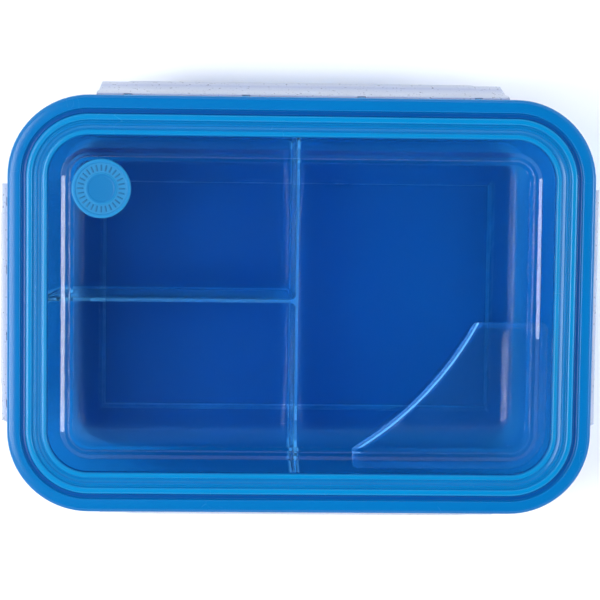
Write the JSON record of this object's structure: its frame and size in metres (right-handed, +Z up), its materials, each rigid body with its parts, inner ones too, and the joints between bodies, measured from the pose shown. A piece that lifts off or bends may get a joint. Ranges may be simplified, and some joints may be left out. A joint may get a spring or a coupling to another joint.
{
  "type": "bento lunch box",
  "caption": "Rectangular divided food box with a framed clear lid held by hinged side latches, a vent plug and a loose corner cup.",
  "frame": {"origin": "centre of the base's bounding box, on the surface that the box stands on", "axes": "+X along the long side to the right with the vent plug at back left, +Y to the back, +Z up through the lid"},
  "size_m": [0.2334, 0.1702, 0.0593],
  "materials": {
    "tub_plastic": "clear deep blue polypropylene, polished",
    "frame_plastic": "satin blue polypropylene",
    "clear_plastic": "clear, polished",
    "seal_silicone": "soft translucent silicone",
    "plug_silicone": "light blue silicone, matt",
    "latch_plastic": "frosted colourless polypropylene",
    "pin_steel": "drawn stainless wire",
    "cup_plastic": "clear blue polypropylene, polished"
  },
  "bodies": {
    "container": {"container": "tub_plastic"},
    "lid": {"lid_ring": "frame_plastic", "lid_window": "clear_plastic", "lid_seal": "seal_silicone", "hinge_pin_back": "pin_steel", "hinge_pin_front": "pin_steel", "hinge_pin_left": "pin_steel", "hinge_pin_right": "pin_steel"},
    "latch_back": {"latch_back": "latch_plastic"},
    "latch_front": {"latch_front": "latch_plastic"},
    "latch_left": {"latch_left": "latch_plastic"},
    "latch_right": {"latch_right": "latch_plastic"},
    "vent_plug": {"vent_plug": "plug_silicone"},
    "corner_cup": {"corner_cup": "cup_plastic"}
  },
  "joints": [
    {"name": "lid_lift", "type": "slide", "parent": "container", "child": "lid", "axis": [0, 0, 1], "range_m": [0, 0.08]},
    {"name": "latch_back_hinge", "type": "hinge", "parent": "lid", "child": "latch_back", "pos_m": [0, 0.0786, 0.0528], "axis": [1, 0, 0], "range_deg": [0, 95]},
    {"name": "latch_front_hinge", "type": "hinge", "parent": "lid", "child": "latch_front", "pos_m": [0, -0.0786, 0.0528], "axis": [-1, 0, 0], "range_deg": [0, 95]},
    {"name": "latch_left_hinge", "type": "hinge", "parent": "lid", "child": "latch_left", "pos_m": [-0.11085, 0, 0.0528], "axis": [0, 1, 0], "range_deg": [0, 95]},
    {"name": "latch_right_hinge", "type": "hinge", "parent": "lid", "child": "latch_right", "pos_m": [0.11085, 0, 0.0528], "axis": [0, -1, 0], "range_deg": [0, 95]},
    {"name": "vent_plug_pull", "type": "slide", "parent": "lid", "child": "vent_plug", "axis": [0, 0, 1], "range_m": [0, 0.008]},
    {"name": "cup_lift", "type": "slide", "parent": "container", "child": "corner_cup", "axis": [0, 0, 1], "range_m": [0, 0.045]}
  ],
  "couplings": [
    {"joint": "cup_lift", "follows": "lid_lift", "ratio": 0.55}
  ]
}
